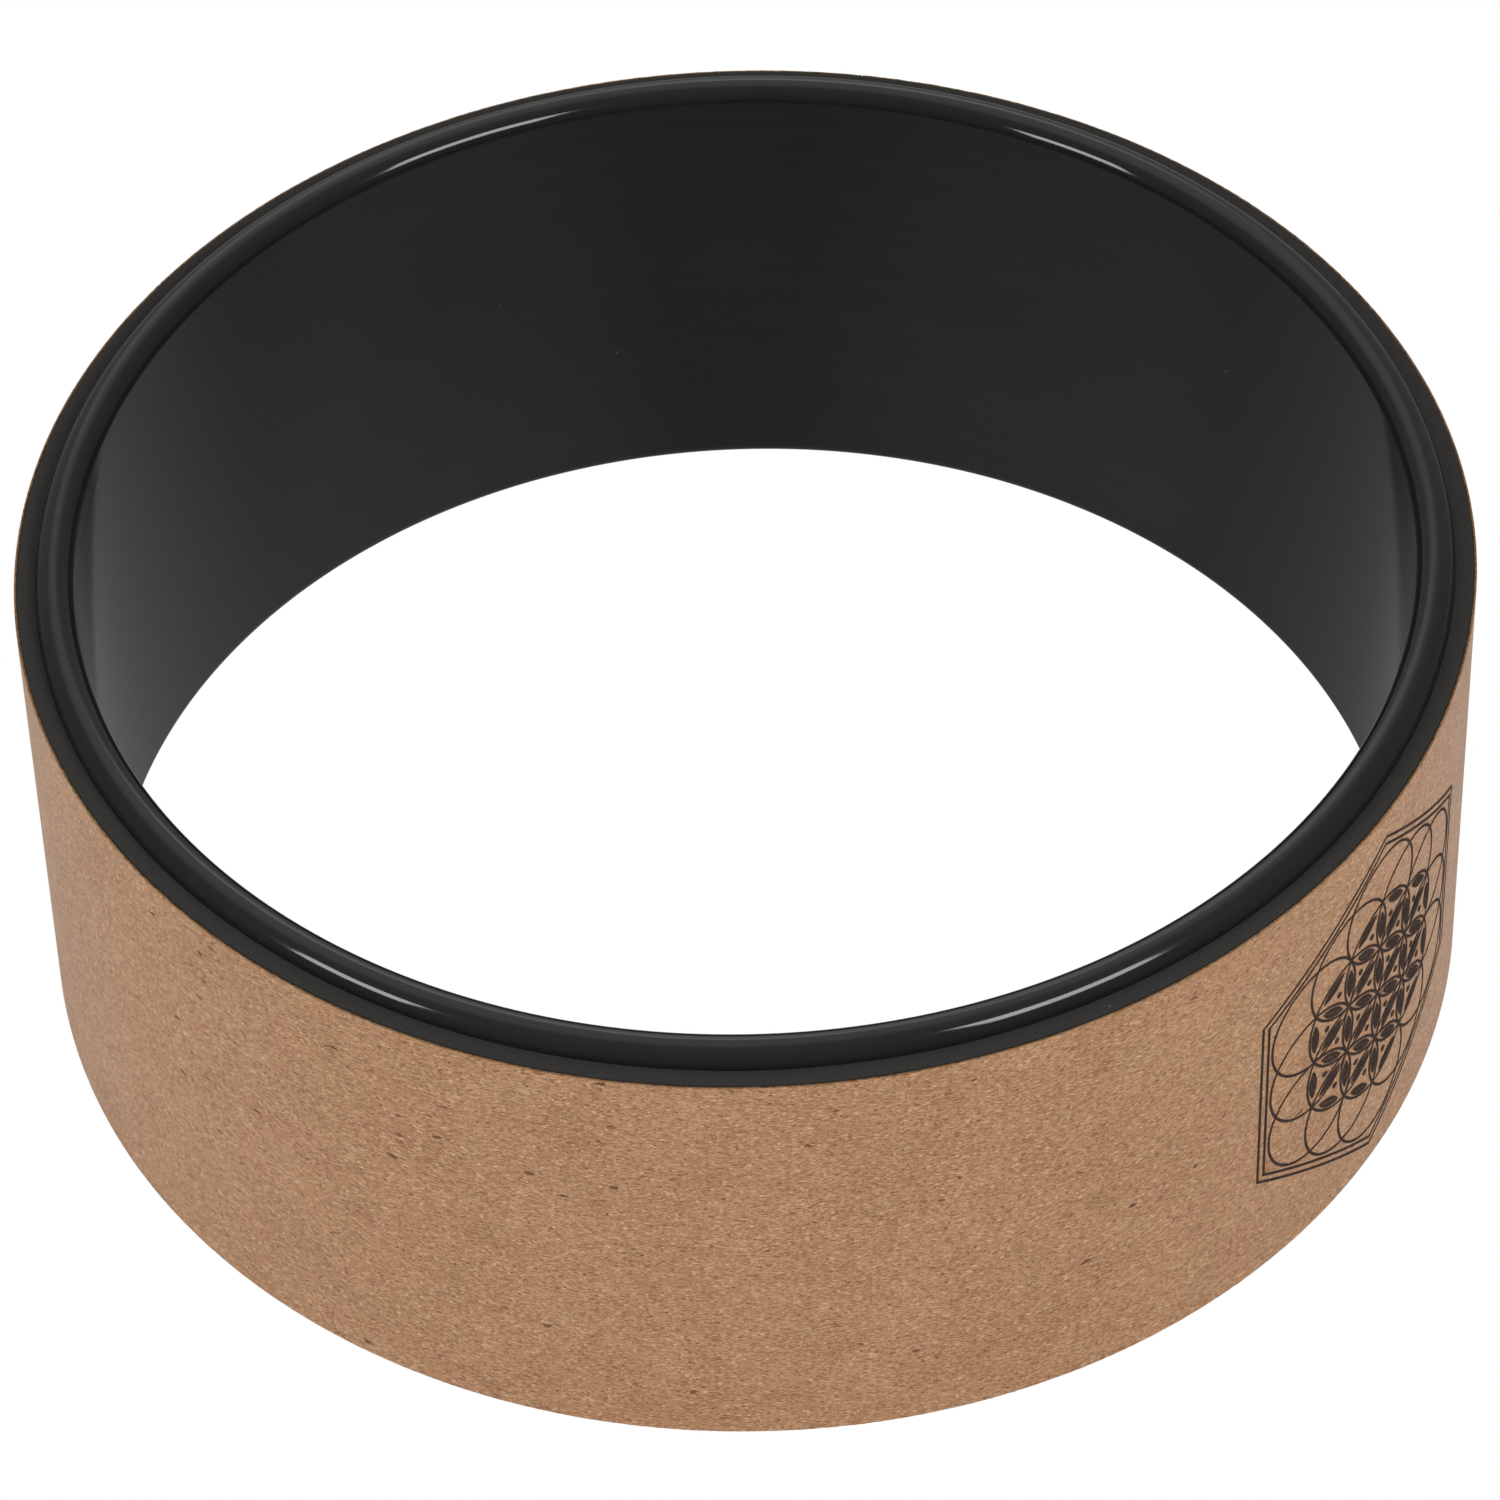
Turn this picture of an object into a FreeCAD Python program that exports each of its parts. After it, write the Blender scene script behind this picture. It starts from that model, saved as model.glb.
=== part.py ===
import FreeCAD, Part
import math
import os

# Yoga wheel lying on its side: a moulded hoop with a strip of cork-faced foam glued round it.
# The wheel's axis is +Z, and the origin is the hoop's centre at the level of its lower rim.
# Lengths are in millimetres and angles in degrees.

# The hoop
hoop_diameter = 320.0       # outside, where the strip is glued on
hoop_width = 120.0          # over both rims
hoop_wall = 8.6
rim_chords = 12             # each rim's half round is this many equal chords

# The layers of the strip, from the hoop outwards
pad_film = 0.15             # adhesive under the foam
pad_thickness = 4.1         # foam
cover_film = 0.15           # adhesive under the cork
cover_thickness = 0.6       # cork

# How the strip lies on the hoop
upper_margin = 4.5          # rim left bare above the strip
lower_margin = 1.5          # rim left bare below it
seam_gap = 0.4              # between the strip's two ends, across the cork's face
seam_angle = 78.5           # where the ends meet, from +X towards +Y

# Worked out from the above
hoop_radius = hoop_diameter / 2.0
rim_radius = hoop_wall / 2.0
mid_wall_radius = hoop_radius - rim_radius
foam_radius = hoop_radius + pad_film
bond_radius = foam_radius + pad_thickness
cork_radius = bond_radius + cover_film
tread_radius = cork_radius + cover_thickness
strip_bottom = lower_margin
strip_top = hoop_width - upper_margin
seam_opening = math.degrees(seam_gap / tread_radius)

CENTRE = FreeCAD.Vector(0, 0, 0)
AXIS = FreeCAD.Vector(0, 0, 1)
FULL_TURN = 360.0
HALF_TURN = 180.0


def on_section(radius, height):
    """A point of the half plane through the axis and the seam, where the profiles are drawn."""
    seam = math.radians(seam_angle)
    return FreeCAD.Vector(radius * math.cos(seam), radius * math.sin(seam), height)


def half_round(height, first_angle):
    """The points of a rim's half round, centred in the wall at that height."""
    points = []
    for chord in range(rim_chords + 1):
        turn = math.radians(first_angle + HALF_TURN * chord / rim_chords)
        radius = mid_wall_radius + rim_radius * math.cos(turn)
        points.append(on_section(radius, height + rim_radius * math.sin(turn)))
    return points


def make_hoop():
    """The ring: straight inside and outside, with a half round at each rim."""
    upper_rim = half_round(hoop_width - rim_radius, 0.0)
    lower_rim = half_round(rim_radius, HALF_TURN)
    outline = upper_rim + lower_rim + upper_rim[:1]
    return Part.Face(Part.makePolygon(outline)).revolve(CENTRE, AXIS, FULL_TURN)


def wrap_layer(inner_radius, thickness):
    """One layer of the strip, bent round the hoop until its two ends nearly meet at the seam."""
    outer_radius = inner_radius + thickness
    outline = [
        on_section(inner_radius, strip_bottom),
        on_section(outer_radius, strip_bottom),
        on_section(outer_radius, strip_top),
        on_section(inner_radius, strip_top),
        on_section(inner_radius, strip_bottom),
    ]
    section = Part.Face(Part.makePolygon(outline))
    section.rotate(CENTRE, AXIS, seam_opening / 2.0)
    return section.revolve(CENTRE, AXIS, FULL_TURN - seam_opening)


pieces = {
    "hoop": make_hoop(),
    "pad_adhesive": wrap_layer(hoop_radius, pad_film),
    "foam_pad": wrap_layer(foam_radius, pad_thickness),
    "cork_adhesive": wrap_layer(bond_radius, cover_film),
    "cork_cover": wrap_layer(cork_radius, cover_thickness),
}

os.makedirs("parts", exist_ok=True)
for name, shape in pieces.items():
    shape.exportStep(os.path.join("parts", name + ".step"))
    print(name, "valid" if shape.isValid() else "NOT VALID", round(shape.Volume / 1000.0, 2), "cm3")
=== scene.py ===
import sys

import logging
import math
from dataclasses import dataclass
from enum import Enum
from typing import Any, Callable, Sequence

import bmesh
import bpy
from mathutils import Matrix, Vector


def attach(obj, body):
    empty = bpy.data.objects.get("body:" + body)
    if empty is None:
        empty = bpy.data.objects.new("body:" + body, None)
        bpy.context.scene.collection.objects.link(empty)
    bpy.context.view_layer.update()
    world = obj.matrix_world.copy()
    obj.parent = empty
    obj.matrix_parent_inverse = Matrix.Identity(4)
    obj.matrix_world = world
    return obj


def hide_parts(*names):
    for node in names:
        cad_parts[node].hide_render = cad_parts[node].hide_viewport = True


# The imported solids, and their box before anything is added to them.
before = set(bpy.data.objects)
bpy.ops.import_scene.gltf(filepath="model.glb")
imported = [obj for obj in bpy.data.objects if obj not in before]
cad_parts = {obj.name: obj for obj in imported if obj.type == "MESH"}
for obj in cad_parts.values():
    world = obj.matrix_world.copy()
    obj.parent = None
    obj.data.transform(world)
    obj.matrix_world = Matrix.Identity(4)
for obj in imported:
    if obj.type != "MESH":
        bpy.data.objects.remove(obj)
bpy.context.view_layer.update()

# A yoga wheel lying on its side: a black moulded hoop with a strip of cork-faced foam glued round it.
# Sizes are in millimetres, angles in degrees. Angles round the wheel run from +X towards +Y.
MM = 0.001
FULL_TURN = 360.0
QUARTER_TURN = 90.0
ORIGIN = (0.0, 0.0, 0.0)
AXIS = (0.0, 0.0, 1.0)          # the wheel's
DOUBLES = 0.002                 # vertices closer than this are merged
SHARP_ABOVE = 35.0              # edges that turn by more than this stay sharp
WHITE = "#FFFFFF"
BLACK = "#000000"
STRIP_MAP = "strip"             # attribute of the strip's layers: arc, height and depth in millimetres
LOG = logging.getLogger("yoga_wheel")

# Small marks on a surface: how fine and how wide their raggedness is, and how much of them is solid.
MARK_FINENESS = 0.6
MARK_RAGGED = 4.0
MARK_CORE = 0.6

# Fine noise has one more octave of detail than the noise node starts with, and is a little harsher.
FINE_DETAIL = 3.0
FINE_ROUGHNESS = 0.6

Span = tuple[float, float]      # where a share is 0 and where it is 1


class Slot(Enum):
    """The record's material slots."""

    HOOP = "hoop_plastic"
    FOAM = "foam"
    CORK = "cork"
    GLUE = "adhesive"


def linear(hexcode: str) -> tuple[float, float, float, float]:
    """Turns an sRGB colour into linear light.

    Args:
        hexcode: six hex digits after a hash sign.

    Returns:
        Red, green and blue as linear values, and an alpha of 1.
    """
    shares = [int(hexcode[i:i + 2], 16) / 255.0 for i in (1, 3, 5)]
    light = [c / 12.92 if c <= 0.04045 else ((c + 0.055) / 1.055) ** 2.4 for c in shares]
    return (light[0], light[1], light[2], 1.0)


def add_node(
    tree: bpy.types.NodeTree,
    kind: str,
    inputs: dict[Any, Any] | None = None,
    stops: Sequence[tuple[float, tuple[float, float, float, float]]] = (),
    **settings: Any,
) -> bpy.types.Node:
    """Adds one shader node with its settings, fixed values and links.

    Args:
        tree: the node tree it goes into.
        kind: the node's type without the leading ShaderNode.
        inputs: for an input's name or number, a fixed value or the output that feeds it.
        stops: places and colours along a colour ramp.
        settings: the node's own properties.

    Returns:
        The new node.
    """
    node = tree.nodes.new("ShaderNode" + kind)
    for name, value in settings.items():
        setattr(node, name, value)
    for key, value in (inputs or {}).items():
        if isinstance(value, bpy.types.NodeSocket):
            tree.links.new(value, node.inputs[key])
        else:
            node.inputs[key].default_value = value
    for index, (place, colour) in enumerate(stops):
        ramp = node.color_ramp.elements
        element = ramp[index] if index < 2 else ramp.new(place)
        element.position = place
        element.color = colour
    return node


def new_material(name: str) -> tuple[bpy.types.Material, bpy.types.NodeTree]:
    """Starts a material with an empty node tree.

    Args:
        name: the material's name.

    Returns:
        The material and its node tree.
    """
    material = bpy.data.materials.new(name)
    material.use_nodes = True
    material.node_tree.nodes.clear()
    return material, material.node_tree


def ruffled(
    tree: bpy.types.NodeTree, place: bpy.types.NodeSocket, fineness: float, reach: float
) -> bpy.types.NodeSocket:
    """Adds the nodes that make a place wander, so that outlines drawn from it are ragged.

    Args:
        tree: the node tree they go into.
        place: the output with the place.
        fineness: the scale of the noise that moves it.
        reach: how far it is moved at most.

    Returns:
        The output with the place moved.
    """
    noise = add_node(tree, "TexNoise", {"Vector": place, "Scale": fineness})
    moved = add_node(
        tree, "VectorMath", {0: noise.outputs["Color"], 1: (reach,) * 3, 2: place}, operation="MULTIPLY_ADD"
    )
    return moved.outputs[0]


def marked(
    tree: bpy.types.NodeTree,
    place: bpy.types.NodeSocket,
    ground: bpy.types.NodeSocket,
    mark: str,
    spacing: float,
    size: float,
) -> bpy.types.NodeSocket:
    """Adds the nodes of a few small ragged marks, strewn over a surface.

    Args:
        tree: the node tree they go into.
        place: the output with the place in metres.
        ground: the output with the surface's colour.
        mark: the marks' colour.
        spacing: about how far apart the marks are.
        size: about how far each reaches from its middle.

    Returns:
        The output with the surface's colour, marks included.
    """
    ragged = ruffled(tree, place, MARK_FINENESS / (size * MM), MARK_RAGGED * size * MM)
    marks = add_node(tree, "TexVoronoi", {"Vector": ragged, "Scale": 1.0 / (spacing * MM)})
    reach = size / spacing
    share = add_node(
        tree,
        "MapRange",
        {"Value": marks.outputs["Distance"], "From Min": reach, "From Max": MARK_CORE * reach},
    )
    colour = add_node(tree, "Mix", {0: share.outputs[0], 6: ground, 7: linear(mark)}, data_type="RGBA")
    return colour.outputs[2]


def deselect_all() -> None:
    """Goes to object mode, with nothing selected."""
    if bpy.context.object and bpy.context.object.mode != "OBJECT":
        bpy.ops.object.mode_set(mode="OBJECT")
    bpy.ops.object.select_all(action="DESELECT")


def take(piece: bpy.types.Object) -> None:
    """Selects one piece alone, in object mode, and makes it active.

    Args:
        piece: the object.
    """
    deselect_all()
    piece.select_set(True)
    bpy.context.view_layer.objects.active = piece


def apply_place(piece: bpy.types.Object) -> None:
    """Moves a piece's place, turn and scale into its mesh.

    Args:
        piece: the object, which is left selected and active.
    """
    take(piece)
    bpy.ops.object.transform_apply(location=True, rotation=True, scale=True)


def apply_modifier(piece: bpy.types.Object, kind: str, **settings: Any) -> None:
    """Adds a modifier to a piece and applies it at once.

    Args:
        piece: the object to finish.
        kind: the modifier's type.
        settings: the modifier's properties.
    """
    take(piece)
    modifier = piece.modifiers.new(kind.lower(), kind)
    for name, value in settings.items():
        setattr(modifier, name, value)
    bpy.ops.object.modifier_apply(modifier=modifier.name)


def pick_vertices(piece: bpy.types.Object, test: Callable[[Vector], bool]) -> None:
    """Selects, in edit mode, the vertices that lie where a test says, and what runs between them.

    Args:
        piece: the object in edit mode.
        test: says of a place, in metres, whether a vertex there is taken.
    """
    bpy.ops.mesh.select_mode(type="VERT")
    mesh = bmesh.from_edit_mesh(piece.data)
    for vertex in mesh.verts:
        vertex.select = test(vertex.co)
    mesh.select_flush_mode()
    bmesh.update_edit_mesh(piece.data)


def spin_round(steps: int, angle: float) -> None:
    """Spins all that is in edit mode about the wheel's axis.

    Args:
        steps: how many steps the turn is made in.
        angle: how far it turns.
    """
    bpy.ops.mesh.select_all(action="SELECT")
    bpy.ops.mesh.spin(steps=steps, angle=math.radians(angle), center=ORIGIN, axis=AXIS)


def close_up() -> None:
    """Merges doubles and turns the faces outwards in edit mode, then leaves it."""
    bpy.ops.mesh.select_all(action="SELECT")
    bpy.ops.mesh.remove_doubles(threshold=DOUBLES * MM)
    bpy.ops.mesh.normals_make_consistent(inside=False)
    bpy.ops.object.mode_set(mode="OBJECT")


def smooth(piece: bpy.types.Object, sharp_above: float = SHARP_ABOVE) -> None:
    """Shades a piece smooth, with its sharp edges kept.

    Args:
        piece: the object to shade.
        sharp_above: edges that turn by more degrees than this stay sharp.
    """
    take(piece)
    bpy.ops.object.shade_smooth_by_angle(angle=math.radians(sharp_above))


@dataclass(frozen=True)
class Finish:
    """What all finishes have: a name, a gloss, a relief, and a shader that their own nodes feed."""

    name: str
    roughness: float
    ior: float
    relief: float                   # depth of the surface's fine relief, and how strongly it shows
    relief_strength: float

    def paint(self, tree: bpy.types.NodeTree) -> dict[str, Any]:
        """Adds the finish's own nodes.

        Args:
            tree: the material's node tree.

        Returns:
            The shader's inputs by name, and the relief under Height.
        """
        raise NotImplementedError

    def make(self) -> bpy.types.Material:
        """Builds the material.

        Returns:
            The finished material.
        """
        material, tree = new_material(self.name)
        inputs = {"Roughness": self.roughness, "IOR": self.ior, **self.paint(tree)}
        if self.relief:
            height, depth = inputs.pop("Height"), self.relief * MM
            bump = add_node(
                tree, "Bump", {"Height": height, "Strength": self.relief_strength, "Distance": depth}
            )
            inputs["Normal"] = bump.outputs[0]
        shader = add_node(tree, "BsdfPrincipled", inputs)
        add_node(tree, "OutputMaterial", {"Surface": shader.outputs[0]})
        return material


@dataclass(frozen=True)
class MouldedAbs(Finish):
    """Black ABS, moulded and buffed: near-black, with soft highlights and faint marks round the wall."""

    name: str = "moulded_abs_black"
    roughness: float = 0.065        # where the buffing is fresh, and where it is worn
    worn_roughness: float = 0.135
    ior: float = 1.5
    relief: float = 0.07
    relief_strength: float = 0.6
    black: str = "#222222"
    worn: str = "#262626"
    nick: str = "#62625F"
    streak_height: float = 3.2      # the buffing marks, across and along
    streak_length: float = 80.0
    cloud_size: float = 45.0        # slow changes of gloss from handling
    wear_range: Span = (0.12, 0.45)  # of marks times clouds, from fresh to worn
    nick_size: float = 0.28         # small pale nicks, and about how far apart they are
    nick_spacing: float = 15.0

    def paint(self, tree: bpy.types.NodeTree) -> dict[str, Any]:
        """Adds the nodes of the buffing marks, the wear and the nicks.

        Args:
            tree: the material's node tree.

        Returns:
            The shader's inputs by name, and the relief under Height.
        """
        place = add_node(tree, "TexCoord").outputs["Object"]
        across = 1.0 / (self.streak_length * MM)
        up = 1.0 / (self.streak_height * MM)
        lined = add_node(tree, "Mapping", {"Vector": place, "Scale": (across, across, up)})
        streaks = add_node(tree, "TexNoise", {"Vector": lined.outputs[0], "Scale": 1.0})
        clouds = add_node(tree, "TexNoise", {"Vector": place, "Scale": 1.0 / (self.cloud_size * MM)})
        wear = add_node(tree, "Math", {0: streaks.outputs[0], 1: clouds.outputs[0]}, operation="MULTIPLY")
        fresh, worn = self.wear_range
        share = add_node(tree, "MapRange", {"Value": wear.outputs[0], "From Min": fresh, "From Max": worn})
        colour = add_node(
            tree, "Mix", {0: share.outputs[0], 6: linear(self.black), 7: linear(self.worn)}, data_type="RGBA"
        )
        nicked = marked(tree, place, colour.outputs[2], self.nick, self.nick_spacing, self.nick_size)
        gloss = add_node(
            tree,
            "MapRange",
            {"Value": share.outputs[0], "To Min": self.roughness, "To Max": self.worn_roughness},
        )
        return {"Base Color": nicked, "Roughness": gloss.outputs[0], "Height": streaks.outputs[0]}


@dataclass(frozen=True)
class CharcoalFoam(Finish):
    """Closed-cell EVA foam, sliced: dead matt charcoal with the pinprick texture of cut cells, whose pits are
    darkened with painted shade.
    """

    name: str = "eva_foam_charcoal"
    roughness: float = 0.95
    ior: float = 1.4
    relief: float = 0.15
    relief_strength: float = 0.35
    charcoal: str = "#3C3B39"
    # painted shade in the hollows of the cut cells
    pit_shade: str = "#2D2C2A"
    scuff: str = "#77756F"
    cell: float = 0.55              # drawn about twice as coarse as real cells, so that it shows
    cell_range: Span = (0.05, 0.45)  # from a cell's middle to its wall
    scuff_size: float = 0.3         # small pale scuffs, and about how far apart they are
    scuff_spacing: float = 9.0

    def paint(self, tree: bpy.types.NodeTree) -> dict[str, Any]:
        """Adds the nodes of the cut cells, with painted shade in their pits, and the scuffs.

        Args:
            tree: the material's node tree.

        Returns:
            The shader's inputs by name, and the relief under Height.
        """
        place = add_node(tree, "TexCoord").outputs["Object"]
        cells = add_node(tree, "TexVoronoi", {"Vector": place, "Scale": 1.0 / (self.cell * MM)})
        middle, wall = self.cell_range
        pits = add_node(
            tree,
            "MapRange",
            {"Value": cells.outputs["Distance"], "From Min": middle, "From Max": wall},
            interpolation_type="SMOOTHSTEP",
        )
        # the middles of the pits, which lie lowest, are painted darker as shade
        colour = add_node(
            tree,
            "Mix",
            {0: pits.outputs[0], 6: linear(self.pit_shade), 7: linear(self.charcoal)},
            data_type="RGBA",
        )
        scuffed = marked(tree, place, colour.outputs[2], self.scuff, self.scuff_spacing, self.scuff_size)
        return {"Base Color": scuffed, "Height": pits.outputs[0]}


@dataclass(frozen=True)
class AgglomeratedCork(Finish):
    """Fine cork granules pressed and sliced into a sheet: matt tan and evenly grained, with a few flecks."""

    name: str = "cork_agglomerated"
    roughness: float = 0.85
    ior: float = 1.45
    relief: float = 0.1
    relief_strength: float = 0.35
    tan: str = "#AF895F"
    warm: str = "#B7805A"
    dark_granule: str = "#7B522E"
    pale_granule: str = "#DBB491"
    bark: str = "#784C28"           # granules with bark in them
    glint: str = "#D8B48E"          # painted highlight: granules cut across, painted paler as if they catch the light
    fleck: str = "#683E1E"
    patch: float = 14.0             # slow mottling, and how far it darkens or pales the granules
    uneven: float = 0.083
    granule_length: float = 0.8     # the granules lie along the strip
    granule_height: float = 0.33
    fleck_length: float = 1.9
    fleck_height: float = 0.8
    fleck_shift: tuple[float, float, float] = (37.0, 11.0, 5.0)     # so that flecks don't follow granules
    ragged: float = 0.5             # how far the granules' outlines wander, and how finely
    ragged_fineness: float = 0.8
    granule_tint: float = 0.74      # how much of the tint is the granule's own, and not the patch's
    fine_share: float = 0.68        # how much of the tone is finer than a granule
    fineness: float = 0.9
    fine_roughness: float = 0.65
    # Where each kind of colour starts and where it is full: on the noise of the patches or the
    # flecks, or on the granules' tone
    warm_range: Span = (0.36, 0.66)
    dark_range: Span = (0.52, 0.17)
    pale_range: Span = (0.5, 0.9)
    bark_range: Span = (0.06, 0.0)
    glint_range: Span = (0.94, 1.0)
    fleck_range: Span = (0.005, 0.001)
    fuzz: float = 0.26              # loose fibres, which pale the sheet where it turns away
    fuzz_roughness: float = 0.4

    def paint(self, tree: bpy.types.NodeTree) -> dict[str, Any]:
        """Adds the nodes of the granules and the flecks.

        Args:
            tree: the material's node tree.

        Returns:
            The shader's inputs by name, and the relief under Height.
        """
        place = add_node(tree, "Attribute", attribute_name=STRIP_MAP).outputs["Vector"]
        ragged = ruffled(tree, place, self.ragged_fineness / self.granule_length, self.ragged)
        along, up = 1.0 / self.granule_length, 1.0 / self.granule_height
        laid = add_node(tree, "Mapping", {"Vector": ragged, "Scale": (along, up, along)})
        cells = add_node(tree, "TexVoronoi", {"Vector": laid.outputs[0], "Scale": 1.0})
        granule = add_node(tree, "SeparateColor", {0: cells.outputs["Color"]})
        tone, hue = granule.outputs[0], granule.outputs[1]
        patches = add_node(
            tree, "TexNoise", {"Vector": place, "Scale": 1.0 / self.patch, "Detail": FINE_DETAIL}
        )
        start, end = self.warm_range
        mottled = add_node(
            tree, "MapRange", {"Value": patches.outputs[0], "From Min": start, "From Max": end}
        )
        tinted = add_node(
            tree, "Mix", {0: self.granule_tint, 2: mottled.outputs[0], 3: hue}, data_type="FLOAT"
        )
        ground = add_node(
            tree, "Mix", {0: tinted.outputs[0], 6: linear(self.tan), 7: linear(self.warm)}, data_type="RGBA"
        )
        fine = add_node(
            tree,
            "TexNoise",
            {
                "Vector": laid.outputs[0],
                "Scale": self.fineness,
                "Detail": FINE_DETAIL,
                "Roughness": self.fine_roughness,
            },
        )
        mixed = add_node(tree, "Mix", {0: self.fine_share, 2: tone, 3: fine.outputs[0]}, data_type="FLOAT")
        slow = add_node(tree, "SeparateColor", {0: patches.outputs["Color"]})
        shift = add_node(
            tree, "MapRange", {"Value": slow.outputs[1], "To Min": -self.uneven, "To Max": self.uneven}
        )
        shaded = add_node(tree, "Math", {0: mixed.outputs[0], 1: shift.outputs[0]}, operation="ADD")
        along, up = 1.0 / self.fleck_length, 1.0 / self.fleck_height
        spaced = add_node(
            tree, "Mapping", {"Vector": ragged, "Location": self.fleck_shift, "Scale": (along, up, along)}
        )
        chips = add_node(tree, "TexVoronoi", {"Vector": spaced.outputs[0], "Scale": 1.0})
        chance = add_node(tree, "SeparateColor", {0: chips.outputs["Color"]}).outputs[0]
        colour = ground.outputs[2]
        for source, (start, end), granules in (
            (shaded.outputs[0], self.dark_range, self.dark_granule),
            (shaded.outputs[0], self.pale_range, self.pale_granule),
            (tone, self.bark_range, self.bark),
            # painted highlight on the palest granules
            (tone, self.glint_range, self.glint),
            (chance, self.fleck_range, self.fleck),
        ):
            share = add_node(tree, "MapRange", {"Value": source, "From Min": start, "From Max": end})
            colour = add_node(
                tree, "Mix", {0: share.outputs[0], 6: colour, 7: linear(granules)}, data_type="RGBA"
            ).outputs[2]
        return {
            "Base Color": colour,
            "Sheen Weight": self.fuzz,
            "Sheen Roughness": self.fuzz_roughness,
            "Height": mixed.outputs[0],
        }


@dataclass(frozen=True)
class GrainyFinish(Finish):
    """A matt finish of two colours, mixed by a fine noise that also roughens the surface."""

    first: str
    second: str
    grain: float
    second_range: Span              # of the noise, where the second colour starts and is full
    on_strip: bool                  # whether the noise follows the strip's map

    def paint(self, tree: bpy.types.NodeTree) -> dict[str, Any]:
        """Adds the nodes of the grain.

        Args:
            tree: the material's node tree.

        Returns:
            The shader's inputs by name, and the relief under Height.
        """
        if self.on_strip:
            place = add_node(tree, "Attribute", attribute_name=STRIP_MAP).outputs["Vector"]
            scale = 1.0 / self.grain
        else:
            place = add_node(tree, "TexCoord").outputs["Object"]
            scale = 1.0 / (self.grain * MM)
        grains = add_node(
            tree,
            "TexNoise",
            {"Vector": place, "Scale": scale, "Detail": FINE_DETAIL, "Roughness": FINE_ROUGHNESS},
        )
        start, end = self.second_range
        share = add_node(tree, "MapRange", {"Value": grains.outputs[0], "From Min": start, "From Max": end})
        colour = add_node(
            tree,
            "Mix",
            {0: share.outputs[0], 6: linear(self.first), 7: linear(self.second)},
            data_type="RGBA",
        )
        return {"Base Color": colour.outputs[2], "Height": grains.outputs[0]}


@dataclass(frozen=True)
class CutCork(GrainyFinish):
    """The cut edge of the cork sheet: the granules' golden inside, rougher and deeper than the face."""

    name: str = "cork_cut_edge"
    roughness: float = 0.9
    ior: float = 1.45
    relief: float = 0.15
    relief_strength: float = 0.6
    first: str = "#9C7850"
    second: str = "#6E4E31"
    grain: float = 1.1
    second_range: Span = (0.55, 0.35)
    on_strip: bool = True


@dataclass(frozen=True)
class ScreenInk(GrainyFinish):
    """Dark brown screen ink on cork: matt, and thinner where the granules drank it in."""

    name: str = "screen_ink_brown"
    roughness: float = 0.8
    ior: float = 1.45
    relief: float = 0.1
    relief_strength: float = 0.4
    first: str = "#3B2A23"
    second: str = "#5A4233"
    grain: float = 0.9
    second_range: Span = (0.52, 0.72)
    on_strip: bool = False


@dataclass(frozen=True)
class ContactGlue(Finish):
    """Contact adhesive, brushed on and dried: an amber film, a little darker where it lies thick."""

    name: str = "contact_glue_amber"
    roughness: float = 0.45
    ior: float = 1.48
    relief: float = 0.0             # it dries flat
    relief_strength: float = 0.0
    thin: str = "#8A7346"
    thick: str = "#5E4A26"
    brush: float = 3.0              # width of a brush mark
    brush_stretch: float = 0.08     # its width as a share of its length

    def paint(self, tree: bpy.types.NodeTree) -> dict[str, Any]:
        """Adds the nodes of the brush marks.

        Args:
            tree: the material's node tree.

        Returns:
            The shader's inputs by name.
        """
        place = add_node(tree, "Attribute", attribute_name=STRIP_MAP).outputs["Vector"]
        along, up = self.brush_stretch / self.brush, 1.0 / self.brush
        swept = add_node(tree, "Mapping", {"Vector": place, "Scale": (along, up, 1.0)})
        marks = add_node(tree, "TexNoise", {"Vector": swept.outputs[0], "Scale": 1.0})
        colour = add_node(
            tree, "Mix", {0: marks.outputs[0], 6: linear(self.thin), 7: linear(self.thick)}, data_type="RGBA"
        )
        return {"Base Color": colour.outputs[2]}


@dataclass
class Piece:
    """What all pieces have: a name, a slot, the solids they stand for and a finish."""

    name: str
    slot: Slot
    nodes: tuple[str, ...]
    finish: Finish

    def build(self) -> bpy.types.Object:
        """Models the piece, still without its material."""
        raise NotImplementedError

    def dress(self, piece: bpy.types.Object) -> None:
        """Gives the piece its material, ties it to the wheel's body and hides the solids it stands for.

        Args:
            piece: the object that build made.
        """
        slot, nodes = self.slot, self.nodes
        piece.data.materials.append(self.finish.make())
        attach(piece, "root")
        if nodes:
            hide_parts(*nodes)
        triangles = sum(len(face.vertices) - 2 for face in piece.data.polygons)
        LOG.info("%s: %d triangles, stands for %s", piece.name, triangles, ", ".join(nodes) or "nothing")


@dataclass
class Hoop(Piece):
    """The moulded ring with a half round at each rim."""

    name: str = "hoop_moulding"
    slot: Slot = Slot.HOOP
    nodes: tuple[str, ...] = ("hoop",)
    finish: Finish = MouldedAbs()
    outer_radius: float = 160.0
    width: float = 120.0
    wall: float = 8.6
    rim_steps: int = 48
    turn_steps: int = 288

    def build(self) -> bpy.types.Object:
        """Draws a circle as thick as the wall, stretches it to the ring's width and spins it.

        Returns:
            The ring.
        """
        rim = self.wall / 2.0
        deselect_all()
        bpy.ops.mesh.primitive_circle_add(
            vertices=self.rim_steps,
            radius=rim * MM,
            location=((self.outer_radius - rim) * MM, 0.0, rim * MM),
            rotation=(math.radians(QUARTER_TURN), math.pi / self.rim_steps, 0.0),
        )
        ring = bpy.context.object
        ring.name = ring.data.name = self.name
        apply_place(ring)
        bpy.ops.object.mode_set(mode="EDIT")
        pick_vertices(ring, lambda place: place.z > rim * MM)
        bpy.ops.transform.translate(value=(0.0, 0.0, (self.width - self.wall) * MM))
        spin_round(self.turn_steps, FULL_TURN)
        close_up()
        smooth(ring)
        return ring


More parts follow.
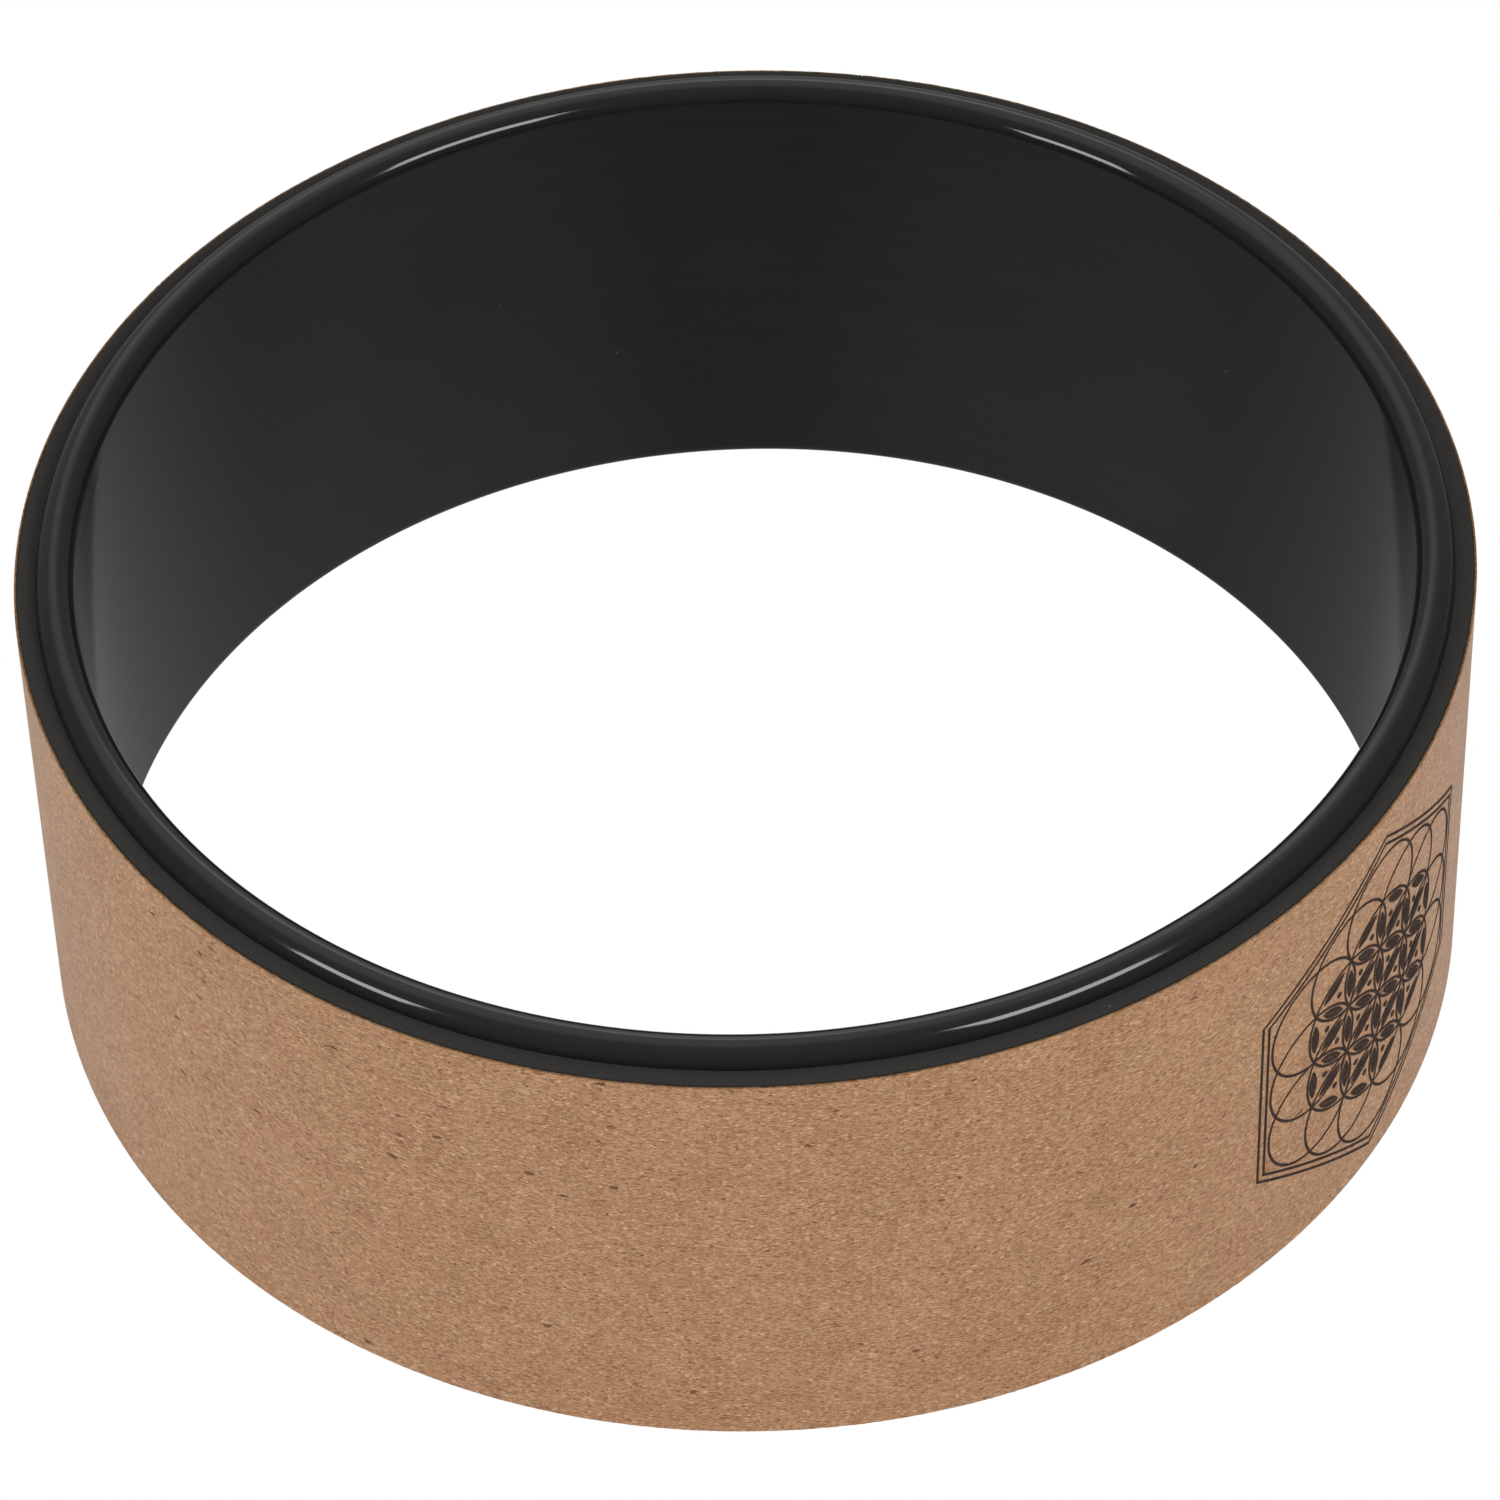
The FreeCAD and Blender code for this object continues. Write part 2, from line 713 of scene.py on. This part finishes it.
@dataclass
class StripLayer(Piece):
    """One layer of the strip, bent round the hoop until its ends nearly meet."""

    inner_radius: float
    thickness: float
    bottom: float = 1.5
    top: float = 115.5
    seam_angle: float = 78.5
    seam_gap: float = 0.2           # the foam presses the two ends together
    outside_radius: float = 165.0
    turn_steps: int = 288
    edge_round: float = 0.0
    edge_steps: int = 3             # steps of that round
    edge_rows: tuple[float, ...] = ()       # how far in from the long edges a row of vertices runs
    wave: float = 0.0               # how far the long edges rise and fall
    wave_length: float = 1.0        # about how long each rise or fall is
    wave_band: float = 0.0          # how far in from the long edges it reaches
    wave_octaves: int = 2
    sharp_above: float = SHARP_ABOVE

    def section(self) -> bpy.types.Object:
        """Draws the layer's outline at +X, as a loop of edges.

        Returns:
            The outline, in edit mode.
        """
        height = self.top - self.bottom
        deselect_all()
        bpy.ops.mesh.primitive_plane_add(
            size=MM,
            location=(
                (self.inner_radius + self.thickness / 2.0) * MM,
                0.0,
                (self.bottom + height / 2.0) * MM,
            ),
            rotation=(math.radians(QUARTER_TURN), 0.0, 0.0),
        )
        layer = bpy.context.object
        layer.name = layer.data.name = self.name
        layer.scale = (self.thickness, height, 1.0)
        apply_place(layer)
        bpy.ops.object.mode_set(mode="EDIT")
        bpy.ops.mesh.select_all(action="SELECT")
        bpy.ops.mesh.delete(type="ONLY_FACE")
        if self.edge_round:
            bpy.ops.mesh.select_all(action="SELECT")
            bpy.ops.mesh.bevel(offset=self.edge_round * MM, segments=self.edge_steps, affect="VERTICES")
        for inset in self.edge_rows:
            for level in (self.bottom + inset, self.top - inset):
                bpy.ops.mesh.select_all(action="SELECT")
                bpy.ops.mesh.bisect(plane_co=(0.0, 0.0, level * MM), plane_no=AXIS)
        return layer

    def bend(self, layer: bpy.types.Object) -> None:
        """Spins the outline round the hoop from one side of the seam to the other and closes both ends.

        Args:
            layer: the outline, in edit mode.
        """
        opening = math.degrees(self.seam_gap / self.outside_radius)
        bpy.ops.object.mode_set(mode="OBJECT")
        layer.rotation_euler = (0.0, 0.0, math.radians(self.seam_angle + opening / 2.0))
        apply_place(layer)
        bpy.ops.object.mode_set(mode="EDIT")
        spin_round(self.turn_steps, FULL_TURN - opening)
        bpy.ops.mesh.select_all(action="SELECT")
        bpy.ops.mesh.fill_holes(sides=0)
        close_up()

    def wander(self, layer: bpy.types.Object) -> None:
        """Lets the long edges of the bent layer rise and fall.

        Args:
            layer: the bent layer.
        """
        low, high = (self.bottom + self.wave_band) * MM, (self.top - self.wave_band) * MM
        edges = layer.vertex_groups.new(name="long_edges")
        taken = [vertex.index for vertex in layer.data.vertices if not low < vertex.co.z < high]
        edges.add(taken, 1.0, "REPLACE")
        texture = bpy.data.textures.new(self.name + "_edges", "CLOUDS")
        texture.noise_scale = self.wave_length * MM
        texture.noise_depth = self.wave_octaves
        apply_modifier(
            layer,
            "DISPLACE",
            texture=texture,
            texture_coords="LOCAL",
            direction="Z",
            strength=self.wave * MM,
            mid_level=0.5,
            vertex_group=edges.name,
        )

    def lay_map(self, layer: bpy.types.Object) -> None:
        """Notes on each vertex how far along, up and into the strip it lies, in millimetres.

        Args:
            layer: the bent layer.
        """
        seam = math.radians(self.seam_angle)
        places = []
        for vertex in layer.data.vertices:
            turn = (math.atan2(vertex.co.y, vertex.co.x) - seam) % math.radians(FULL_TURN)
            radius = math.hypot(vertex.co.x, vertex.co.y) / MM
            places += [turn * self.outside_radius, vertex.co.z / MM, radius - self.inner_radius]
        chart = layer.data.attributes.new(STRIP_MAP, "FLOAT_VECTOR", "POINT")
        chart.data.foreach_set("vector", places)

    def build(self) -> bpy.types.Object:
        """Draws, bends and maps the layer.

        Returns:
            The layer.
        """
        layer = self.section()
        self.bend(layer)
        if self.wave:
            self.wander(layer)
        self.lay_map(layer)
        smooth(layer, self.sharp_above)
        return layer


@dataclass
class GlueFilm(StripLayer):
    """A film of glue between two layers, which stops a little short of their edges."""

    bottom: float = 2.3
    top: float = 114.7


@dataclass
class FoamPad(StripLayer):
    """The foam layer, whose sliced edges are soft and a little uneven."""

    edge_round: float = 0.12
    edge_rows: tuple[float, ...] = (2.0,)
    wave: float = 0.35
    wave_length: float = 45.0
    wave_band: float = 1.5
    sharp_above: float = 50.0
    fill: float = 1.0

    def dress(self, layer: bpy.types.Object) -> None:
        """Args:
            layer: the foam that build made.
        """
        super().dress(layer)


@dataclass
class CorkCover(StripLayer):
    """The cork sheet, trimmed a little lower than the foam, with crumbly long edges of a deeper colour."""

    top: float = 115.2
    turn_steps: int = 960
    edge_round: float = 0.2
    edge_rows: tuple[float, ...] = (0.6, 1.4)
    wave: float = 0.28              # granules stand out of the edges, or are missing
    wave_length: float = 1.6
    wave_band: float = 0.2
    sharp_above: float = 50.0
    cut_finish: Finish = CutCork()
    cut_below: float = 0.6          # a face that looks outwards by a smaller share than this is cut edge

    def dress(self, layer: bpy.types.Object) -> None:
        """Gives the face and the cut edges their materials and ties the sheet to the wheel.

        Args:
            layer: the sheet that build made.
        """
        super().dress(layer)
        layer.data.materials.append(self.cut_finish.make())
        for face in layer.data.polygons:
            outward = Vector((face.center.x, face.center.y, 0.0)).normalized()
            if face.normal.dot(outward) < self.cut_below:
                face.material_index = 1


def heading(turn: float) -> Vector:
    """Works out a direction on the flat drawing.

    Args:
        turn: from straight up to the left.

    Returns:
        A vector of length 1 that points there.
    """
    return Vector((-math.sin(math.radians(turn)), math.cos(math.radians(turn)), 0.0))


@dataclass
class LatticePrint(Piece):
    """A printed lattice of overlapping circles, with a leaf where two of them cross, in a six-sided frame."""

    name: str = "cork_print"
    slot: Slot = Slot.CORK
    nodes: tuple[str, ...] = ()
    finish: Finish = ScreenInk()
    rings: int = 2                  # rings of circles round the middle one
    spacing: float = 14.8           # between the circles' middles, and each circle's radius
    line: float = 0.75              # width of a circle's line
    circle_corners: int = 72
    leaf_length: float = 9.0
    leaf_width: float = 2.8
    leaf_corners: int = 128         # of the whole disc that it is cut from
    leaf_join: float = 0.001
    leaf_turns: tuple[float, ...] = (0.0, 60.0, 120.0)      # from one circle's middle to the next ones
    gap_turns: tuple[float, ...] = (30.0, 90.0)             # and to the gaps between three
    dot: float = 0.85
    dot_core: float = 0.34          # how far in from the dot's outline its inner face starts
    dot_corners: int = 18
    frame_sides: int = 6
    frame_radii: tuple[float, ...] = (50.8, 48.6)
    frame_line: float = 0.8
    frame_cuts: int = 27            # in each side of the frame, so that it can bend
    nearness: float = 0.1           # two places closer than this are one
    gap_reach: float = 0.6          # just over the way from a gap to the circles round it, in spacings
    middle_angle: float = -33.5
    middle_height: float = 57.5
    surface_radius: float = 165.0
    film: float = 0.04
    stagger: float = 0.002          # each shape lies this much above the one before, so none share a plane

    def middles(self) -> list[Vector]:
        """Lists the middles of the lattice's circles.

        Returns:
            Places across and up, from the print's middle.
        """
        found = []
        steps = range(-self.rings, self.rings + 1)
        for row in steps:
            for column in steps:
                if abs(row + column) <= self.rings:
                    up = self.spacing * (column + row / 2.0)
                    found.append(Vector((self.spacing * row * math.sqrt(0.75), up, 0.0)))
        return found

    def start(self, corners: int, radius: float, across: float = 0.0) -> bpy.types.Object:
        """Adds a flat disc and opens it in edit mode.

        Args:
            corners: how many corners its outline has.
            radius: its radius.
            across: how far to the right of the print's middle it lies.

        Returns:
            The disc.
        """
        deselect_all()
        bpy.ops.mesh.primitive_circle_add(
            vertices=corners, radius=radius * MM, location=(across * MM, 0.0, 0.0), fill_type="NGON"
        )
        shape = bpy.context.object
        apply_place(shape)
        bpy.ops.object.mode_set(mode="EDIT")
        bpy.ops.mesh.select_mode(type="FACE")
        bpy.ops.mesh.select_all(action="SELECT")
        return shape

    def hollow(self, width: float) -> None:
        """Cuts the middle out of the shape in edit mode, to leave a line along its outline.

        Args:
            width: the line's width.
        """
        bpy.ops.mesh.select_mode(type="FACE")
        bpy.ops.mesh.select_all(action="SELECT")
        bpy.ops.mesh.inset(thickness=width * MM)
        bpy.ops.mesh.delete(type="FACE")
        bpy.ops.object.mode_set(mode="OBJECT")

    def ring(self) -> bpy.types.Object:
        """Draws one circle of the lattice.

        Returns:
            The circle at the print's middle.
        """
        shape = self.start(self.circle_corners, self.spacing + self.line / 2.0)
        self.hollow(self.line)
        return shape

    def frame_side(self, radius: float) -> bpy.types.Object:
        """Draws one line of the six-sided frame, with corners above and below.

        Args:
            radius: from the middle to the line's outer corners.

        Returns:
            The line.
        """
        shape = self.start(self.frame_sides, radius)
        bpy.ops.mesh.select_mode(type="EDGE")
        bpy.ops.mesh.select_all(action="SELECT")
        bpy.ops.mesh.subdivide(number_cuts=self.frame_cuts)
        self.hollow(self.frame_line)
        return shape

    def leaf(self) -> bpy.types.Object:
        """Draws one leaf, upright: a disc cut by a plane, and its mirror image.

        Returns:
            The leaf at the print's middle.
        """
        tall, wide = self.leaf_length / 2.0, self.leaf_width / 2.0
        radius = (tall * tall + wide * wide) / (2.0 * wide)
        shape = self.start(self.leaf_corners, radius, wide - radius)
        bpy.ops.mesh.bisect(plane_co=ORIGIN, plane_no=(1.0, 0.0, 0.0), clear_inner=True)
        bpy.ops.object.mode_set(mode="OBJECT")
        apply_modifier(shape, "MIRROR", merge_threshold=self.leaf_join * MM)
        return shape

    def speck(self) -> bpy.types.Object:
        """Draws one dot.

        Returns:
            The dot at the print's middle.
        """
        shape = self.start(self.dot_corners, self.dot)
        bpy.ops.mesh.inset(thickness=self.dot_core * MM)
        bpy.ops.object.mode_set(mode="OBJECT")
        return shape

    def stamp(
        self, shapes: list[bpy.types.Object], master: bpy.types.Object, place: Vector, turn: float = 0.0
    ) -> None:
        """Puts a copy of a shape on the drawing.

        Args:
            shapes: the drawing's shapes so far, to which the copy is added.
            master: the shape to copy.
            place: the copy's middle, across and up.
            turn: how far the copy is turned.
        """
        copy = master.copy()
        copy.data = master.data.copy()
        copy.location = (place.x * MM, place.y * MM, len(shapes) * self.stagger * MM)
        copy.rotation_euler = (0.0, 0.0, math.radians(turn))
        bpy.context.scene.collection.objects.link(copy)
        shapes.append(copy)

    def build(self) -> bpy.types.Object:
        """Draws the lattice flat, thickens it and bends it on to the cork.

        Returns:
            The print.
        """
        ring, leaf, speck = self.ring(), self.leaf(), self.speck()
        shapes = [self.frame_side(radius) for radius in self.frame_radii]
        middles = self.middles()
        for place in middles:
            self.stamp(shapes, ring, place)
        for first in middles:
            for turn in self.leaf_turns:
                second = first + heading(turn) * self.spacing
                if any((second - place).length < self.nearness for place in middles):
                    self.stamp(shapes, leaf, (first + second) / 2.0, turn)
            for turn in self.gap_turns:
                gap = first + heading(turn) * self.spacing / math.sqrt(3.0)
                if sum((gap - place).length < self.spacing * self.gap_reach for place in middles) == 3:
                    self.stamp(shapes, speck, gap)
        for master in (ring, leaf, speck):
            bpy.data.objects.remove(master)
        take(shapes[0])
        for shape in shapes:
            shape.select_set(True)
        bpy.ops.object.join()
        drawing = bpy.context.object
        drawing.name = drawing.data.name = self.name
        self.wrap(drawing)
        smooth(drawing)
        return drawing

    def wrap(self, drawing: bpy.types.Object) -> None:
        """Stands the flat drawing up, thickens it and bends it round the wheel's axis.

        Args:
            drawing: the joined drawing, flat on the plane z = 0.
        """
        drawing.rotation_euler = (math.radians(QUARTER_TURN), 0.0, 0.0)
        apply_place(drawing)
        apply_modifier(drawing, "SOLIDIFY", thickness=self.film * MM, offset=0.0)
        width = drawing.dimensions.x
        apply_modifier(
            drawing,
            "SIMPLE_DEFORM",
            deform_method="BEND",
            deform_axis="Z",
            angle=width / (self.surface_radius * MM),
        )
        drawing.location = (0.0, -(self.surface_radius + self.film) * MM, 0.0)
        apply_place(drawing)
        drawing.rotation_euler = (0.0, 0.0, math.radians(QUARTER_TURN + self.middle_angle))
        drawing.location = (0.0, 0.0, self.middle_height * MM)
        apply_place(drawing)


def aim(azimuth: float, elevation: float) -> Vector:
    """Works out a direction in the studio.

    Args:
        azimuth: from +Y towards +X.
        elevation: above the horizon.

    Returns:
        A vector of length 1 that points there.
    """
    around, above = math.radians(azimuth), math.radians(elevation)
    return Vector((math.sin(around) * math.cos(above), math.cos(around) * math.cos(above), math.sin(above)))


@dataclass(frozen=True)
class SoftBox:
    """A rectangular studio light that faces the wheel."""

    name: str
    azimuth: float                  # from +Y towards +X
    elevation: float
    radiance: float                 # 1 is as bright as white in the picture
    width: float
    height: float
    mirrored: bool = True           # whether the gloss shows it
    distance: float = 1900.0
    aim_height: float = 80.0

    def build(self) -> None:
        """Sets up the light."""
        away = aim(self.azimuth, self.elevation)
        lamp = bpy.data.lights.new(self.name, "AREA")
        lamp.shape = "RECTANGLE"
        lamp.size = self.width * MM
        lamp.size_y = self.height * MM
        lamp.energy = self.radiance * math.pi * lamp.size * lamp.size_y
        light = bpy.data.objects.new(self.name, lamp)
        light.location = Vector((0.0, 0.0, self.aim_height * MM)) + away * self.distance * MM
        light.rotation_euler = away.to_track_quat("Z", "Y").to_euler()
        light.visible_camera = False
        light.visible_glossy = self.mirrored
        bpy.context.scene.collection.objects.link(light)


@dataclass(frozen=True)
class Glow:
    """A bright part of the room, round and soft at its edge."""

    azimuth: float                  # from +Y towards +X
    elevation: float
    inner: float                    # angle from its middle where it starts to fade
    outer: float                    # angle where it ends
    strength: float

    def add(self, tree: bpy.types.NodeTree, way: bpy.types.NodeSocket) -> bpy.types.NodeSocket:
        """Adds the nodes of the glow.

        Args:
            tree: the world's node tree.
            way: the output with the direction looked in.

        Returns:
            The output with the glow's brightness.
        """
        middle = aim(self.azimuth, self.elevation)
        near = add_node(tree, "VectorMath", {0: way, 1: tuple(middle)}, operation="DOT_PRODUCT")
        share = add_node(
            tree,
            "MapRange",
            {
                "Value": near.outputs["Value"],
                "From Min": math.cos(math.radians(self.outer)),
                "From Max": math.cos(math.radians(self.inner)),
                "To Max": self.strength,
            },
            interpolation_type="SMOOTHSTEP",
        )
        return share.outputs[0]


@dataclass
class Studio:
    """The pale floor, the backdrop, the lights and the room that the gloss mirrors."""

    floor_size: float = 9000.0
    table_height: float = -1.0
    table_glow: float = 0.6
    table_paint: str = "#E7E7E7"
    wall_radius: float = 4050.0     # the backdrop
    wall_foot: float = -200.0
    wall_corners: int = 64
    # Elevation and the room's brightness there, at its sides and back
    room: tuple[tuple[float, float], ...] = (
        (-90.0, 0.165), (-45.0, 0.165), (-22.0, 0.12), (0.0, 0.13), (30.0, 0.19), (60.0, 0.26), (90.0, 0.3),
    )
    front: float = 0.72             # share of that brightness on the camera's side
    front_end: float = 0.2          # how far towards +Y, in a direction of length 1, the front's share ends
    # Azimuth, elevation, angles where each starts to fade and ends, and strength
    glows: tuple[Glow, ...] = (
        Glow(-4.0, 26.0, 6.0, 20.0, 0.55),
        Glow(3.5, 34.5, 2.0, 6.5, 0.8),
        Glow(-4.0, 10.0, 8.0, 60.0, 0.15),
        Glow(-22.0, 62.0, 8.0, 34.0, 0.42),
        Glow(34.0, -46.0, 10.0, 50.0, 0.08),
        Glow(126.0, -45.0, 8.0, 32.0, 0.09),
        Glow(-126.0, -45.0, 8.0, 32.0, 0.07),
    )
    # Name, azimuth, elevation and radiance
    boxes: tuple[SoftBox, ...] = (
        SoftBox("key_left", -122.0, 26.0, 8.0, width=560.0, height=530.0),
        SoftBox("key_right", 134.0, 40.0, 8.0, width=790.0, height=560.0),
        SoftBox("fill_left", -98.0, 32.0, 0.55, width=1500.0, height=1200.0, mirrored=False),
        SoftBox("fill_right", 98.0, 32.0, 0.35, width=1500.0, height=1200.0, mirrored=False),
    )

    def coat(self, surface: bpy.types.Object, glow: float, paint: str) -> None:
        """Paints one of the studio's surfaces, which the gloss doesn't mirror.

        Args:
            surface: the object.
            glow: how brightly it shines by itself.
            paint: the colour that it has in the light.
        """
        material, tree = new_material(surface.name + "_white")
        matt = add_node(tree, "BsdfDiffuse", {"Color": linear(paint)})
        shine = add_node(tree, "Emission", {"Color": linear(WHITE), "Strength": glow})
        both = add_node(tree, "AddShader", {0: matt.outputs[0], 1: shine.outputs[0]})
        add_node(tree, "OutputMaterial", {"Surface": both.outputs[0]})
        surface.data.materials.append(material)
        surface.visible_glossy = False

    def sheet(self, name: str, height: float) -> bpy.types.Object:
        """Lays a flat sheet under the wheel.

        Args:
            name: the sheet's name.
            height: its height.

        Returns:
            The sheet.
        """
        deselect_all()
        bpy.ops.mesh.primitive_plane_add(size=self.floor_size * MM, location=(0.0, 0.0, height * MM))
        ground = bpy.context.object
        ground.name = ground.data.name = name
        apply_place(ground)
        return ground

    def floor(self) -> None:
        """Lays the white floor that the camera sees, and under it the table that throws light back up."""
        white = self.sheet("studio_floor", 0.0)
        self.coat(white, 1.0, BLACK)
        white.visible_diffuse = white.visible_shadow = False
        table = self.sheet("studio_table", self.table_height)
        self.coat(table, self.table_glow, self.table_paint)
        table.visible_camera = False

    def backdrop(self) -> None:
        """Stands a plain white wall round the floor, which only the camera sees."""
        deselect_all()
        bpy.ops.mesh.primitive_circle_add(
            vertices=self.wall_corners,
            radius=self.wall_radius * MM,
            location=(0.0, 0.0, self.wall_foot * MM),
        )
        wall = bpy.context.object
        wall.name = wall.data.name = "studio_backdrop"
        apply_place(wall)
        bpy.ops.object.mode_set(mode="EDIT")
        bpy.ops.mesh.select_all(action="SELECT")
        bpy.ops.mesh.extrude_edges_move(TRANSFORM_OT_translate={"value": (0.0, 0.0, self.floor_size * MM)})
        bpy.ops.object.mode_set(mode="OBJECT")
        self.coat(wall, 1.0, BLACK)
        wall.visible_diffuse = wall.visible_shadow = False

    def surroundings(self) -> None:
        """Makes the room: brightest on the wall behind and overhead, dark in front."""
        world = bpy.data.worlds.new("studio_room")
        bpy.context.scene.world = world
        world.use_nodes = True
        tree = world.node_tree
        tree.nodes.clear()
        way = add_node(tree, "TexCoord").outputs["Generated"]
        parts = add_node(tree, "SeparateXYZ", {0: way})
        height = add_node(tree, "MapRange", {"Value": parts.outputs["Z"], "From Min": -1.0, "From Max": 1.0})
        stops = []
        for elevation, light in self.room:
            stops.append((0.5 + 0.5 * math.sin(math.radians(elevation)), (light, light, light, 1.0)))
        walls = add_node(tree, "ValToRGB", {"Fac": height.outputs[0]}, stops)
        depth = add_node(
            tree,
            "MapRange",
            {
                "Value": parts.outputs["Y"],
                "From Min": -1.0,
                "From Max": self.front_end,
                "To Min": self.front,
            },
        )
        total = add_node(
            tree, "Math", {0: walls.outputs[0], 1: depth.outputs[0]}, operation="MULTIPLY"
        ).outputs[0]
        for glow in self.glows:
            total = add_node(tree, "Math", {0: total, 1: glow.add(tree, way)}, operation="ADD").outputs[0]
        back = add_node(tree, "Background", {"Color": linear(WHITE), "Strength": total})
        add_node(tree, "OutputWorld", {"Surface": back.outputs[0]})

    def build(self) -> None:
        """Sets up the whole studio."""
        self.floor()
        self.backdrop()
        self.surroundings()
        for box in self.boxes:
            box.build()
        bpy.context.scene.view_settings.view_transform = "Standard"
        LOG.info("studio: floor, backdrop, room and soft boxes")


@dataclass
class Viewpoint:
    """The camera, where the picture was taken from."""

    lens: float = 176.68
    sensor: float = 36.0
    nearest: float = 50.0           # what lies nearer or further isn't drawn
    furthest: float = 50000.0
    eye: tuple[float, float, float] = (-5.99, -1198.39, 1269.99)
    pitch: float = 45.540           # downwards
    yaw: float = 0.2805             # towards +X
    roll: float = -1.733

    def build(self) -> None:
        """Places the camera and makes it the scene's own."""
        data = bpy.data.cameras.new("viewpoint")
        data.lens = self.lens
        data.sensor_width = self.sensor
        data.clip_start, data.clip_end = self.nearest * MM, self.furthest * MM
        camera = bpy.data.objects.new("viewpoint", data)
        turn = (
            Matrix.Rotation(math.radians(-self.yaw), 4, "Z")
            @ Matrix.Rotation(math.radians(QUARTER_TURN - self.pitch), 4, "X")
            @ Matrix.Rotation(math.radians(self.roll), 4, "Z")
        )
        camera.matrix_world = Matrix.Translation(Vector(self.eye) * MM) @ turn
        bpy.context.scene.collection.objects.link(camera)
        bpy.context.scene.camera = camera


def main() -> None:
    """Builds the wheel's pieces from the hoop outwards, then the studio and the camera."""
    logging.basicConfig(level=logging.INFO, format="%(name)s: %(message)s", stream=sys.stdout)
    # The strip's layers: name, slot, solids, finish, inner radius and thickness
    pieces: list[Piece] = [
        Hoop(),
        GlueFilm("glue_under_foam", Slot.GLUE, ("pad_adhesive",), ContactGlue(), 160.0, 0.05),
        FoamPad("foam_strip", Slot.FOAM, ("foam_pad",), CharcoalFoam(), 160.05, 4.2),
        GlueFilm("glue_under_cork", Slot.GLUE, ("cork_adhesive",), ContactGlue(), 164.25, 0.15),
        CorkCover("cork_sheet", Slot.CORK, ("cork_cover",), AgglomeratedCork(), 164.4, 0.6),
        LatticePrint(),
    ]
    for piece in pieces:
        piece.dress(piece.build())
    Studio().build()
    Viewpoint().build()


if __name__ == "__main__":
    main()
